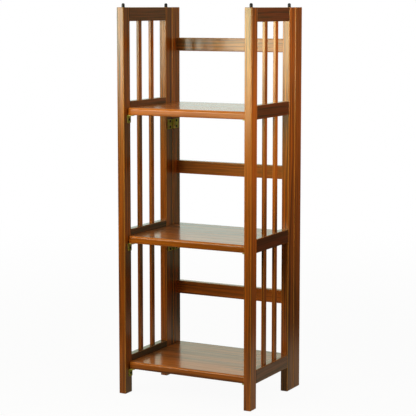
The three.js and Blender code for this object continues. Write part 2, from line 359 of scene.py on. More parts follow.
def growth_rings(tree, log, axis, ring_width):
    """Bands round the middle of the log, each darkest where its summer ended."""
    wander = add_node(tree, "VectorMath", {0: log, 1: across(axis, WANDER_WIDTH, WANDER_LENGTH)},
                      operation="MULTIPLY")
    drift = add_node(tree, "TexNoise", {"Vector": wander.outputs[0], "Scale": 1.0,
                                        "Detail": 2.0, "Roughness": 0.45})
    middle = add_node(tree, "VectorMath", {0: drift.outputs["Color"], 1: (0.5, 0.5, 0.5)},
                      operation="SUBTRACT")
    bent = add_node(tree, "VectorMath", {0: middle.outputs[0],
                                         1: (WANDER * ring_width * MM,) * 3, 2: log},
                    operation="MULTIPLY_ADD")
    section = [1.0, 1.0, 1.0]
    section[axis] = 0.0
    flat = add_node(tree, "VectorMath", {0: bent.outputs[0], 1: section}, operation="MULTIPLY")
    radius = add_node(tree, "VectorMath", {0: flat.outputs[0]}, operation="LENGTH")
    rings = add_node(tree, "Math", {0: radius.outputs["Value"], 1: 1 / (ring_width * MM)},
                     operation="MULTIPLY")
    phase = add_node(tree, "Math", {0: rings.outputs[0]}, operation="FRACT")
    ring = add_node(tree, "ValToRGB", {"Fac": phase.outputs[0]})
    set_ramp(ring, RING_TONES)
    number = add_node(tree, "Math", {0: rings.outputs[0]}, operation="FLOOR")
    summer = add_node(tree, "TexWhiteNoise", {"W": number.outputs[0]}, noise_dimensions="1D")
    depth = add_node(tree, "MapRange", {"Value": summer.outputs["Value"],
                                        "To Min": RING_DEPTH[0], "To Max": RING_DEPTH[1]})
    band = add_node(tree, "Math", {0: ring.outputs["Color"], 1: depth.outputs["Result"]},
                    operation="MULTIPLY")
    return band.outputs[0]


def pore_streaks(tree, log, axis):
    along = add_node(tree, "VectorMath", {0: log, 1: across(axis, FIBRE_WIDTH, FIBRE_LENGTH)},
                     operation="MULTIPLY")
    fibres = add_node(tree, "TexNoise", {"Vector": along.outputs[0], "Scale": 1.0, "Detail": 3.0,
                                         "Roughness": 0.6})
    fibre = add_node(tree, "MapRange", {"Value": fibres.outputs["Fac"],
                                        "From Min": FIBRE_SPREAD[0],
                                        "From Max": FIBRE_SPREAD[1]})
    return fibre.outputs["Result"]


def slow_patches(tree, log, axis):
    slow = add_node(tree, "VectorMath", {0: log, 1: across(axis, PATCH_WIDTH, PATCH_LENGTH)},
                    operation="MULTIPLY")
    patches = add_node(tree, "TexNoise", {"Vector": slow.outputs[0], "Scale": 1.0, "Detail": 2.0})
    patch = add_node(tree, "MapRange", {"Value": patches.outputs["Fac"],
                                        "From Min": PATCH_SPREAD[0],
                                        "From Max": PATCH_SPREAD[1]})
    return patch.outputs["Result"]


def edge_highlight_and_soaked_ends(tree, normal, axis, stain, edge):
    """The stain with its arrises painted lighter, a painted highlight and partly stain worn thin,
    and its darker end grain.
    """
    facing = add_node(tree, "VectorMath", {0: normal}, operation="ABSOLUTE")
    sides = add_node(tree, "SeparateXYZ", {0: facing.outputs[0]})
    wider = add_node(tree, "Math", {0: sides.outputs["X"], 1: sides.outputs["Y"]},
                     operation="MAXIMUM")
    widest = add_node(tree, "Math", {0: wider.outputs[0], 1: sides.outputs["Z"]},
                      operation="MAXIMUM")
    # The arrises take the edge colour: a painted highlight, and partly stain worn thin.
    arris = add_node(tree, "MapRange", {"Value": widest.outputs[0], "From Min": FLAT_FACE,
                                        "From Max": ROUND_ARRIS})
    highlit_edges = add_node(tree, "Mix", {0: arris.outputs["Result"], 6: stain, 7: linear(edge)},
                    data_type="RGBA")
    end = add_node(tree, "MapRange", {"Value": sides.outputs["XYZ"[axis]],
                                      "From Min": END_FACE[0], "From Max": END_FACE[1],
                                      "To Min": 1.0, "To Max": END_SHADE})
    soaked = add_node(tree, "VectorMath", {0: highlit_edges.outputs[2], 3: end.outputs["Result"]},
                      operation="SCALE")
    return soaked.outputs[0]


def lacquered_wood(name, axis, early, late, edge, gloss, sheen=1.0, ring_width=RING_WIDTH,
                   ring_share=0.6, fibre_share=0.5, staves=False):
    """Boards whose grain runs along one axis, with a stain from early to late wood, and an edge
    colour
    painted on the arrises: a painted highlight there, and partly the stain worn thinner."""
    material = new_material(name)
    tree = material.node_tree
    place = add_node(tree, "TexCoord")
    pith = add_node(tree, "Attribute", attribute_name="pith")
    from_pith = add_node(tree, "VectorMath", {0: place.outputs["Object"],
                                              1: pith.outputs["Vector"]}, operation="SUBTRACT")
    log = from_pith.outputs[0]
    if staves:
        log, stave_tone = split_staves(tree, place.outputs["Object"], log)
    fibre = pore_streaks(tree, log, axis)

    # The board's tone, which carries painted shade and painted highlights as well as the board's
    # own stain.
    board = add_node(tree, "Attribute", attribute_name="tone")
    dark = add_node(tree, "Math", {0: board.outputs["Fac"], 1: BOARD_SHARE, 2: GROUND},
                    operation="MULTIPLY_ADD")
    for feature, share in ((growth_rings(tree, log, axis, ring_width), ring_share),
                           (fibre, fibre_share),
                           (slow_patches(tree, log, axis), PATCH_SHARE)):
        dark = add_node(tree, "Math", {0: feature, 1: share, 2: dark.outputs[0]},
                        operation="MULTIPLY_ADD")
    held = add_node(tree, "Clamp", {"Value": dark.outputs[0]})
    amount = held.outputs[0]
    if staves:
        by_stave = add_node(tree, "Math", {0: stave_tone, 1: STAVE_SHARE, 2: amount},
                            operation="MULTIPLY_ADD")
        evened = add_node(tree, "Math", {0: by_stave.outputs[0], 1: STAVE_SHARE / 2},
                          operation="SUBTRACT", use_clamp=True)
        amount = evened.outputs[0]
    # A Mix node keeps a socket of each kind; its colours are inputs 6 and 7 and output 2.
    stain = add_node(tree, "Mix", {0: amount, 6: linear(early), 7: linear(late)},
                     data_type="RGBA")
    colour = edge_highlight_and_soaked_ends(tree, place.outputs["Normal"], axis, stain.outputs[2], edge)

    rough = add_node(tree, "MapRange", {"Value": fibre, "To Min": WOOD_ROUGHNESS[0],
                                        "To Max": WOOD_ROUGHNESS[1]})
    relief = add_node(tree, "Bump", {"Height": fibre, "Strength": 0.3,
                                     "Distance": PORE_RELIEF * MM})
    film = add_node(tree, "Bump", {"Height": amount, "Strength": 1.0,
                                   "Distance": FILM_RELIEF * MM})
    skin = add_node(tree, "BsdfPrincipled", {
        "Base Color": colour, "Roughness": rough.outputs["Result"],
        "Normal": relief.outputs["Normal"], "Coat Normal": film.outputs["Normal"],
        "IOR": LACQUER_IOR, "Specular IOR Level": sheen, "Specular Tint": linear(WOOD_TINT),
        "Coat Weight": 1.0, "Coat Roughness": gloss, "Coat IOR": LACQUER_IOR})
    add_node(tree, "OutputMaterial", {"Surface": skin.outputs[0]})
    return material


GRAIN = {"X": 0, "Y": 1, "Z": 2}
# The third colour of each wood is painted on its arrises: a painted highlight, and partly the stain
# worn thinner there.
upright_wood = lacquered_wood("lacquered hardwood upright", GRAIN["Z"], "#dc6e18", "#4c220a",
                              "#eea446", 0.12)
side_rail_wood = lacquered_wood("lacquered hardwood side rail", GRAIN["Y"], "#8a3d18", "#2c1508",
                                "#b06a2a", 0.12)
back_rail_wood = lacquered_wood("lacquered hardwood back rail", GRAIN["X"], "#d8701c", "#4a2410",
                                "#dc9240", 0.16)
shelf_wood = lacquered_wood("lacquered glued-up shelf", GRAIN["X"], "#d8741a", "#421c07",
                            "#d87a2a", 0.16, sheen=0.3, ring_width=WIDE_RING, ring_share=0.75,
                            fibre_share=0.36, staves=True)


# ---- Metal and plastic ------------------------------------------------------------------------

ZINC_DRIFT = 9.0        # mm over which the film's hue drifts
ZINC_GRIT = 0.7         # the strip's rolled texture is finer; drawn as coarse as it needs to show
DRAWING_LINE = (0.3, 12.0)      # width and length of a drawing line
MOULD_GRAIN = 0.8


def yellow_zinc(name, stops):
    """Stamped steel, zinc plated and yellow passivated: a satin metal whose thin film drifts from
    straw gold to olive green and faint pink over about a centimetre."""
    material = new_material(name)
    tree = material.node_tree
    place = add_node(tree, "TexCoord")
    film = add_node(tree, "TexNoise", {"Vector": place.outputs["Object"],
                                       "Scale": 1 / (ZINC_DRIFT * MM), "Detail": 3.0,
                                       "Roughness": 0.55})
    hue = add_node(tree, "ValToRGB", {"Fac": film.outputs["Fac"]})
    set_ramp(hue, stops)
    grit = add_node(tree, "TexNoise", {"Vector": place.outputs["Object"],
                                       "Scale": 1 / (ZINC_GRIT * MM), "Detail": 2.0})
    rough = add_node(tree, "MapRange", {"Value": grit.outputs["Fac"], "To Min": 0.42,
                                        "To Max": 0.6})
    relief = add_node(tree, "Bump", {"Height": grit.outputs["Fac"], "Strength": 0.15,
                                     "Distance": 0.05 * MM})
    metal = add_node(tree, "BsdfPrincipled", {
        "Base Color": hue.outputs["Color"], "Metallic": 0.4, "Roughness": rough.outputs["Result"],
        "Normal": relief.outputs["Normal"]})
    add_node(tree, "OutputMaterial", {"Surface": metal.outputs[0]})
    return material


def drawn_steel():
    """Bright drawn wire cut into pins: cool grey with fine drawing lines along its length."""
    material = new_material("bright drawn steel")
    tree = material.node_tree
    place = add_node(tree, "TexCoord")
    line_size = across(GRAIN["X"], *DRAWING_LINE)
    lines = add_node(tree, "VectorMath", {0: place.outputs["Object"], 1: line_size},
                     operation="MULTIPLY")
    drawn = add_node(tree, "TexNoise", {"Vector": lines.outputs[0], "Scale": 1.0, "Detail": 2.0})
    shade = add_node(tree, "ValToRGB", {"Fac": drawn.outputs["Fac"]})
    set_ramp(shade, ((0.3, "#8b8e91"), (0.7, "#b1b3b5")))
    rough = add_node(tree, "MapRange", {"Value": drawn.outputs["Fac"], "To Min": 0.22,
                                        "To Max": 0.42})
    metal = add_node(tree, "BsdfPrincipled", {
        "Base Color": shade.outputs["Color"], "Metallic": 1.0,
        "Roughness": rough.outputs["Result"]})
    add_node(tree, "OutputMaterial", {"Surface": metal.outputs[0]})
    return material


def black_nylon():
    """Moulded black nylon: a soft sheen broken by a faint moulding texture."""
    material = new_material("moulded black nylon")
    tree = material.node_tree
    place = add_node(tree, "TexCoord")
    mould = add_node(tree, "TexNoise", {"Vector": place.outputs["Object"],
                                        "Scale": 1 / (MOULD_GRAIN * MM), "Detail": 3.0})
    shade = add_node(tree, "ValToRGB", {"Fac": mould.outputs["Fac"]})
    set_ramp(shade, ((0.3, "#141517"), (0.7, "#232427")))
    relief = add_node(tree, "Bump", {"Height": mould.outputs["Fac"], "Strength": 0.2,
                                     "Distance": 0.05 * MM})
    rough = add_node(tree, "MapRange", {"Value": mould.outputs["Fac"], "To Min": 0.28,
                                        "To Max": 0.45})
    plastic = add_node(tree, "BsdfPrincipled", {
        "Base Color": shade.outputs["Color"], "Roughness": rough.outputs["Result"], "IOR": 1.53,
        "Normal": relief.outputs["Normal"]})
    add_node(tree, "OutputMaterial", {"Surface": plastic.outputs[0]})
    return material


zinc = yellow_zinc("yellow passivated zinc on steel", (
    (0.3, "#ece06c"), (0.45, "#ccd862"), (0.58, "#f0e47c"), (0.7, "#e4b684")))
# The screw heads are the same zinc painted dark: painted shade in their recesses and a painted dark
# reflection on their domes.
shaded_zinc = yellow_zinc("yellow passivated zinc screw painted dark for shade", (
    (0.3, "#57502c"), (0.45, "#454a2a"), (0.58, "#615a34"), (0.7, "#5a4a34")))
steel = drawn_steel()
nylon = black_nylon()


# ---- Boards -----------------------------------------------------------------------------------

lumber = random.Random(7)

PITH_AWAY = (55, 120)   # how far from its middle, in millimetres, a board was cut from the log
LOG_REACH = 2           # metres up or down the log that a board may come from
DRAWN_TONES = (0.15, 0.85)

# How dark each board is, at even steps from its low end to its high end along the grain: 0 is a
# light board and 1 a dark one, and a few stand out past these. Part of it is the boards' own stain
# and part is painted light: painted shade on the left frame's posts, stile and lower rails, on the
# back rails towards their left ends and towards the feet of the right rear post and stile, and
# painted highlights high on the right front post and on the right middle rear slat. The tones of
# the boards that aren't named here are drawn at random.
BOARD_TONES_AND_PAINTED_LIGHT = {
    "left_front_post": (0.9, 0.95, 0.9, 0.9, 1.2),
    "left_rear_post": (0.75, 0.8),
    "left_stile": (0.8, 0.65),
    "right_front_post": (0.4, 0.25, 0.0, -0.7, 0.9),
    "right_rear_post": (0.9, 0.9, 0.6, 0.4, 0.1),
    "right_stile": (0.9, 0.9, 0.7, 0.5, 0.8),
    "left_crown_rail": (0.3, 0.3), "left_top_rail": (0.2, 0.4),
    "left_middle_rail": (1.5, 1.5), "left_bottom_rail": (1.5, 1.5),
    "right_crown_rail": (0.3, 0.3), "right_top_rail": (0.6, 0.6), "right_bottom_rail": (0.1, 0.1),
    "back_bottom_rail": (0.9, -0.4), "back_middle_rail": (1.0, 0.0), "back_top_rail": (1.5, 0.1),
    "left_bottom_front_slat": (0.5, 0.5), "left_bottom_rear_slat": (0.3, 0.3),
    "left_middle_front_slat": (0.6, 0.4), "left_middle_rear_slat": (0.2, 0.0),
    "left_top_front_slat": (0.6, 0.6), "left_top_rear_slat": (0.5, 0.4),
    "right_bottom_front_slat": (0.7, 0.6), "right_bottom_rear_slat": (0.5, 0.4),
    "right_middle_front_slat": (0.9, 0.5, 0.3), "right_middle_rear_slat": (1.0, -0.6, -1.0),
    "right_top_front_slat": (0.4, 0.5), "right_top_rear_slat": (0.0, 0.0),
}


def mark_pith(part, low, high, axis):
    """Says where the middle of the log lay, seen from this board, so that no two boards match."""
    angle = lumber.uniform(0, 2 * math.pi)
    away = lumber.uniform(*PITH_AWAY) * MM
    pith = (low + high) / 2
    first, second = [i for i in range(3) if i != axis]
    pith[first] += away * math.cos(angle)
    pith[second] += away * math.sin(angle)
    pith[axis] += lumber.uniform(-LOG_REACH, LOG_REACH)
    values = part.data.attributes.new("pith", "FLOAT_VECTOR", "POINT")
    values.data.foreach_set("vector", list(pith) * len(part.data.vertices))


def rounded_board(node, low, high, axis, edge_round=EDGE_ROUND, end_round=END_ROUND):
    """A board with rounded long edges and softened ends, with points where its tone changes."""
    part = add_block(f"{node}_board", low, high)
    steps = len(BOARD_TONES_AND_PAINTED_LIGHT.get(node, DRAWN_TONES)) - 1
    if steps > 1:
        make_active(part)
        bpy.ops.object.mode_set(mode="EDIT")
        choose(part, "edges", runs_along(axis))
        bpy.ops.mesh.subdivide(number_cuts=steps - 1)
        bpy.ops.object.mode_set(mode="OBJECT")
    round_edges(part, runs_along(axis), edge_round * MM, 5)
    round_edges(part, lies_at(axis, low[axis], high[axis]), end_round * MM, 2)
    return part


def mark_tone(part, node, low, high, axis):
    """Gives every point its share of the board's tones, from the low end to the high end."""
    drawn = lumber.uniform(*DRAWN_TONES)
    tones = BOARD_TONES_AND_PAINTED_LIGHT.get(node, (drawn, drawn))
    step = (high[axis] - low[axis]) / (len(tones) - 1)
    shades = []
    for vertex in part.data.vertices:
        way = (vertex.co[axis] - low[axis]) / step
        first = min(max(int(way), 0), len(tones) - 2)
        shades.append(tones[first] + (tones[first + 1] - tones[first]) * (way - first))
    values = part.data.attributes.new("tone", "FLOAT", "POINT")
    values.data.foreach_set("value", shades)


def finish_board(part, low, high, axis, material, slot, body, node):
    mark_pith(part, low, high, axis)
    mark_tone(part, node, low, high, axis)
    smooth(part)
    finish_piece(part, material, slot, body, node)


def post(side, place):
    node = f"{side}_{place}_post"
    low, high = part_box(node)
    part = rounded_board(node, low, high, GRAIN["Z"])
    middle = (low + high) / 2
    foot = Vector((middle.x, middle.y, low.z))
    head = Vector((middle.x, middle.y, high.z))
    up = Vector((0, 0, MM))
    bore(part, foot - up, foot + up * SOCKET_DEPTH, SOCKET_RADIUS * MM)
    bore(part, head - up * PEG_SEAT_DEPTH, head + up, PEG_SEAT_RADIUS * MM)
    finish_board(part, low, high, GRAIN["Z"], upright_wood, "wood", "root", node)


def stile(side):
    node = f"{side}_stile"
    low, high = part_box(node)
    part = rounded_board(node, low, high, GRAIN["Z"])
    inward = Vector((-SIDES[side] * MM, 0, 0))
    for level in LEVELS:
        pin_low, pin_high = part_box(f"{side}_{level}_shelf_pivot_pin")
        mouth = (pin_low + pin_high) / 2
        mouth.x = (high if side == "left" else low).x
        bore(part, mouth + inward, mouth - inward * PIVOT_BORE_DEPTH, PIVOT_BORE_RADIUS * MM)
    finish_board(part, low, high, GRAIN["Z"], upright_wood, "wood", "root", node)


def side_rail(side, level):
    """The part of a side rail that shows, between its two posts."""
    node = f"{side}_{level}_rail"
    low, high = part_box(node)
    low.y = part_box(f"{side}_front_post")[1].y + WALL_GAP * MM
    high.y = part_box(f"{side}_rear_post")[0].y - WALL_GAP * MM
    part = rounded_board(node, low, high, GRAIN["Y"], end_round=RAIL_END_ROUND)
    finish_board(part, low, high, GRAIN["Y"], side_rail_wood, "wood", "root", node)


def slat(side, level, above, place):
    """A slat, from just inside the rail below it to just inside the rail above it."""
    node = f"{side}_{level}_{place}_slat"
    low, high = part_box(node)
    low.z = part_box(f"{side}_{level}_rail")[1].z - SLAT_SINK * MM
    high.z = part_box(f"{side}_{above}_rail")[0].z + SLAT_SINK * MM
    part = rounded_board(node, low, high, GRAIN["Z"], SLAT_ROUND, RAIL_END_ROUND)
    finish_board(part, low, high, GRAIN["Z"], upright_wood, "wood", "root", node)


def back_rail(level):
    """The part of a back rail that shows, between the two stiles."""
    node = f"back_{level}_rail"
    low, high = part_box(node)
    low.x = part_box("left_stile")[1].x + WALL_GAP * MM
    high.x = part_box("right_stile")[0].x - WALL_GAP * MM
    part = rounded_board(node, low, high, GRAIN["X"], end_round=RAIL_END_ROUND)
    finish_board(part, low, high, GRAIN["X"], back_rail_wood, "wood", "root", node)


def shelf(level):
    """A shelf board: a round nose along its top front edge, smaller rounds elsewhere."""
    node = f"{level}_shelf"
    low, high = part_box(node)
    part = add_block(f"{node}_board", low, high)
    nose = both(lies_at(1, low.y), lies_at(2, high.z))
    round_edges(part, nose, NOSE_RADIUS * MM, 10)
    foot = both(lies_at(1, low.y), lies_at(2, low.z))
    rear = both(lies_at(1, high.y), runs_along(0))
    round_edges(part, lambda edge: foot(edge) or rear(edge), SHELF_EDGE_ROUND * MM, 4)
    round_edges(part, lies_at(0, low.x, high.x), SHELF_END_ROUND * MM, 2)
    finish_board(part, low, high, GRAIN["X"], shelf_wood, "shelf_wood", f"shelf_{level}", node)


# ---- Screws, hinges and lugs ------------------------------------------------------------------

def screw_master():
    """A domed cross-head screw, driven along -X, with its head's underside at the origin."""
    axis = Vector((MM, 0, 0))
    part = add_rod("screw", Vector((0, 0, 0)), axis * HEAD_HEIGHT, HEAD_RADIUS * MM)
    round_edges(part, lies_at(0, HEAD_HEIGHT * MM), HEAD_DOME * MM, 5)
    make_active(part)
    bpy.ops.object.mode_set(mode="EDIT")
    choose(part, "faces", lies_at(0, 0))
    bpy.ops.mesh.inset(thickness=(HEAD_RADIUS - SHANK_RADIUS) * MM)
    bpy.ops.mesh.extrude_region_move(
        TRANSFORM_OT_translate={"value": (-SHANK_LENGTH * MM, 0, 0)})
    bpy.ops.transform.resize(value=(1, SHANK_TAPER, SHANK_TAPER))
    bpy.ops.object.mode_set(mode="OBJECT")
    for turn in (0, 1):
        half = Vector((0, RECESS_LENGTH, RECESS_WIDTH)) * MM / 2
        if turn:
            half = Vector((0, half.z, half.y))
        floor = axis * (HEAD_HEIGHT - RECESS_DEPTH)
        cut_away(part, add_block("cutter", floor - half, axis * (HEAD_HEIGHT + 1) + half))
    smooth(part)
    return part


def leaf_master(name, slots):
    """A hinge leaf that lies towards -Y from its pin, with x inwards from the wood."""
    inner = (WALL_GAP + LEAF_THICKNESS) * MM
    half_height = HINGE_HEIGHT / 2 * MM
    knuckle_x = (WALL_GAP + KNUCKLE_RADIUS) * MM
    low = Vector((WALL_GAP * MM, -LEAF_WIDTH * MM, -half_height))
    plate = add_block(name, low, Vector((inner, 0, half_height)))
    round_edges(plate, both(runs_along(0), lies_at(1, low.y)), LEAF_CORNER * MM, 4)
    knuckle = HINGE_HEIGHT / 3 * MM
    gap = KNUCKLE_GAP * MM
    for slot in {-1, 0, 1} - set(slots):
        middle = slot * knuckle
        reach = knuckle / 2 + (gap / 2 if slot == 0 else gap)
        cut_away(plate, add_block(
            "cutter", Vector((-MM, -(KNUCKLE_RADIUS + KNUCKLE_GAP) * MM, middle - reach)),
            Vector((2 * knuckle_x, MM, middle + reach))))
    break_edges(plate)
    barrels = []
    for slot in slots:
        ends = [slot * knuckle + half * (knuckle - gap) for half in (-0.5, 0.5)]
        barrel = add_rod("barrel", Vector((knuckle_x, 0, ends[0])),
                         Vector((knuckle_x, 0, ends[1])), KNUCKLE_RADIUS * MM)
        round_edges(barrel, lies_at(2, *ends), KNUCKLE_RIM * MM, 3)
        barrels.append(barrel)
    leaf = join([plate, *barrels])
    smooth(leaf)
    return leaf


def hinge_pin_master():
    knuckle_x = (WALL_GAP + KNUCKLE_RADIUS) * MM
    reach = (HINGE_HEIGHT / 2 + HINGE_PIN_OVERHANG) * MM
    pin = add_rod("hinge pin", Vector((knuckle_x, 0, -reach)), Vector((knuckle_x, 0, reach)),
                  HINGE_PIN_RADIUS * MM)
    round_edges(pin, lies_at(2, -reach, reach), PIN_RIM * MM, 3)
    smooth(pin)
    return pin


def lug_master():
    """An angle lug folded from strip: x inwards from the wood, z up from the shelf's underside."""
    deselect()
    wall = WALL_GAP * MM
    top = -LUG_GAP * MM
    bottom = -LUG_DROP * MM
    bpy.ops.mesh.primitive_plane_add(
        size=1, location=(wall, 0, (top + bottom) / 2), rotation=(0, math.pi / 2, 0))
    bpy.context.object.scale = (top - bottom, LUG_WIDTH * MM, 1)
    part = settle("lug")
    bpy.ops.object.mode_set(mode="EDIT")
    choose(part, "edges", lies_at(2, top))
    bpy.ops.mesh.extrude_region_move(TRANSFORM_OT_translate={"value": (LUG_REACH * MM, 0, 0)})
    choose(part, "edges", both(lies_at(2, top), lies_at(0, wall)))
    bpy.ops.mesh.bevel(offset=LUG_BEND * MM, segments=6, affect="EDGES")
    bpy.ops.mesh.select_all(action="SELECT")
    bpy.ops.mesh.remove_doubles(threshold=TOUCHING)
    bpy.ops.mesh.normals_make_consistent(inside=False)
    bpy.ops.object.mode_set(mode="OBJECT")
    outward = max(part.data.polygons, key=lambda face: abs(face.normal.x)).normal.x < 0
    sheet = part.modifiers.new("strip", "SOLIDIFY")
    sheet.thickness = LUG_THICKNESS * MM
    sheet.offset = -1 if outward else 1
    bpy.ops.object.modifier_apply(modifier=sheet.name)
    free_end = both(runs_along(2),
                    lambda edge: all(v.co.x > (LUG_REACH - 1) * MM for v in edge.verts))
    foot_end = both(runs_along(0),
                    lambda edge: all(v.co.z < bottom + MM for v in edge.verts))
    round_edges(part, lambda edge: free_end(edge) or foot_end(edge), LUG_CORNER * MM, 5)
    break_edges(part)
    smooth(part)
    return part


def hinge(side, level, leaves, pin, screw):
    """One butt hinge: a leaf on the post, a leaf on the stile, its pin and its four screws."""
    node = f"{side}_{level}_hinge"
    inward = -SIDES[side]
    leaf_low, leaf_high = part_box(f"{node}_post_leaf")
    post_low, post_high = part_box(f"{side}_rear_post")
    wall = (post_high if inward > 0 else post_low).x
    origin = Vector((wall, leaf_high.y - KNUCKLE_RADIUS * MM, (leaf_low.z + leaf_high.z) / 2))
    half_turn = Matrix.Rotation(math.pi, 4, "Y") if inward < 0 else Matrix.Identity(4)
    over = Matrix.Rotation(math.pi, 4, "X")
    for name, leaf, turn in (("post", leaves["post"], half_turn),
                             ("stile", leaves["stile"], half_turn @ over)):
        plate = placed_copy(leaf, f"{node}_{name}_plate", origin, turn)
        finish_piece(plate, zinc, "zinc", "root", f"{node}_{name}_leaf")
    rod = placed_copy(pin, f"{node}_pin_rod", origin, half_turn)
    finish_piece(rod, zinc, "zinc", "root", f"{node}_stile_leaf")
    face = inward * (WALL_GAP + LEAF_THICKNESS) * MM
    for name, reach in (("post", -SCREW_REACH), ("stile", SCREW_REACH)):
        for row, rise in (("lower", -SCREW_SPREAD / 2), ("upper", SCREW_SPREAD / 2)):
            place = origin + Vector((face, reach * MM, rise * MM))
            drive_screw(screw, f"{node}_{name}_{row}_screw", place, inward, f"{node}_{name}_leaf")


def drive_screw(screw, name, place, inward, node):
    """Each screw stops where it stops, so each cross is turned its own way."""
    spin = Matrix.Rotation(lumber.uniform(0, math.pi / 2), 4, "X")
    facing = Matrix.Rotation(math.pi if inward < 0 else 0, 4, "Z")
    part = placed_copy(screw, name, place, facing @ spin)
    finish_piece(part, shaded_zinc, "zinc", "root", node)


def shelf_lug(side, level, lug, screw):
    node = f"{side}_{level}_shelf_lug"
    inward = -SIDES[side]
    low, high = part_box(node)
    post_low, post_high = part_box(f"{side}_front_post")
    wall = (post_high if inward > 0 else post_low).x
    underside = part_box(f"{level}_shelf")[0].z
    origin = Vector((wall, (low.y + high.y) / 2, underside))
    facing = Matrix.Rotation(math.pi if inward < 0 else 0, 4, "Z")
    bracket = placed_copy(lug, f"{node}_bracket", origin, facing)
    finish_piece(bracket, zinc, "zinc", "root", node)
    face = Vector((inward * (WALL_GAP + LUG_THICKNESS) * MM, 0, -LUG_SCREW_DROP * MM))
    drive_screw(screw, f"{node}_screw", origin + face, inward, node)


def pivot_rod(side, level):
    node = f"{side}_{level}_shelf_pivot_pin"
    low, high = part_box(node)
    middle = (low + high) / 2
    rod = add_rod(f"{node}_rod", Vector((low.x, middle.y, middle.z)),
                  Vector((high.x, middle.y, middle.z)), (high.z - low.z) / 2)
    round_edges(rod, lies_at(0, low.x, high.x), PIN_RIM * MM, 3)
    smooth(rod)
    finish_piece(rod, steel, "steel", f"shelf_{level}", node)


def stacking_peg(side, place):
    node = f"{side}_{place}_stacking_pin"
    low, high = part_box(node)
    middle = (low + high) / 2
    peg = add_rod(f"{node}_peg", Vector((middle.x, middle.y, low.z)),
                  Vector((middle.x, middle.y, high.z)), (high.x - low.x) / 2)
    round_edges(peg, lies_at(2, high.z), PEG_DOME * MM, 8)
    smooth(peg)
    finish_piece(peg, nylon, "black_plastic", "root", node)


# ---- The rack ---------------------------------------------------------------------------------

def build_rack():
    for side in SIDES:
        for place in ("front", "rear"):
            post(side, place)
            stacking_peg(side, place)
        stile(side)
        for level in SIDE_RAILS:
            side_rail(side, level)
        for index, level in enumerate(LEVELS):
            for place in ("front", "rear"):
                slat(side, level, SIDE_RAILS[index + 1], place)
    for level in LEVELS:
        back_rail(level)
        shelf(level)
        for side in SIDES:
            pivot_rod(side, level)


def fit_hardware():
    screw = screw_master()
    pin = hinge_pin_master()
    lug = lug_master()
    leaves = {"post": leaf_master("post leaf", (-1, 1)), "stile": leaf_master("stile leaf", (0,))}
    for side in SIDES:
        for level in LEVELS:
            hinge(side, level, leaves, pin, screw)
            shelf_lug(side, level, lug, screw)
    for master in (screw, pin, lug, *leaves.values()):
        bpy.data.objects.remove(master)


build_rack()
fit_hardware()


# ---- Camera, lights and floor -----------------------------------------------------------------

PICTURE = 416           # pixels across the photograph
SENSOR = 36.0
FOCAL_PIXELS = 1481.8
HORIZON_ROW = 187.2     # the row that the lens's axis meets
CAMERA_PLACE = (1.7152, -3.2586, 0.9698)
CAMERA_YAW = 27.85
CAMERA_PITCH = -7.0


def set_camera():
    lens = bpy.data.cameras.new("camera")
    lens.sensor_width = SENSOR
    lens.lens = FOCAL_PIXELS / PICTURE * SENSOR
    lens.shift_y = (HORIZON_ROW - PICTURE / 2) / PICTURE
    camera = bpy.data.objects.new("camera", lens)
    camera.location = CAMERA_PLACE
    camera.rotation_euler = (math.radians(90 + CAMERA_PITCH), 0, math.radians(CAMERA_YAW))
    bpy.context.scene.collection.objects.link(camera)
    bpy.context.scene.camera = camera


def soft_light(name, place, aim, width, height, radiance, colour="#ffffff", fade=0.0,
               mirrored=True):
    """A rectangular soft box turned towards a point. Fade is the share of its height over which
    it grows from dark at its foot to its full brightness. A box that isn't mirrored lights the
    rack but doesn't show in its lacquer."""
    lamp = bpy.data.lights.new(name, "AREA")
    lamp.shape = "RECTANGLE"
    lamp.size = width
    lamp.size_y = height
    lamp.energy = radiance * math.pi * width * height
    lamp.color = linear(colour)[:3]
    light = bpy.data.objects.new(name, lamp)
    light.location = place
    light.rotation_euler = (Vector(aim) - Vector(place)).to_track_quat("-Z", "Y").to_euler()
    light.visible_glossy = mirrored
    bpy.context.scene.collection.objects.link(light)
    if fade:
        lamp.use_nodes = True
        tree = lamp.node_tree
        tree.nodes.clear()
        panel = add_node(tree, "NewGeometry")
        parts = add_node(tree, "SeparateXYZ", {0: panel.outputs["Parametric"]})
        level = add_node(tree, "MapRange", {"Value": parts.outputs["Y"], "From Max": fade},
                         interpolation_type="SMOOTHSTEP")
        glow = add_node(tree, "Emission", {"Strength": level.outputs["Result"]})
        add_node(tree, "OutputLight", {"Surface": glow.outputs[0]})


# The camera sees the floor as glowing white paper, all but a twentieth near the rack, where the
# shadow shows. The light that it gives back fades with the distance from the rack, in metres.
FLOOR_SIZE = 24
FLOOR_GREY = ((0.0, 0.74), (1.0, 0.78))
FLOOR_TINT = "#fff0cc"
PAPER_REACH = (0.5, 3.0)
PAPER_SHARE = (0.95, 1.0)
POOL_REACH = (0.45, 1.0)
POOL_SHARE = (0.18, 0.02)


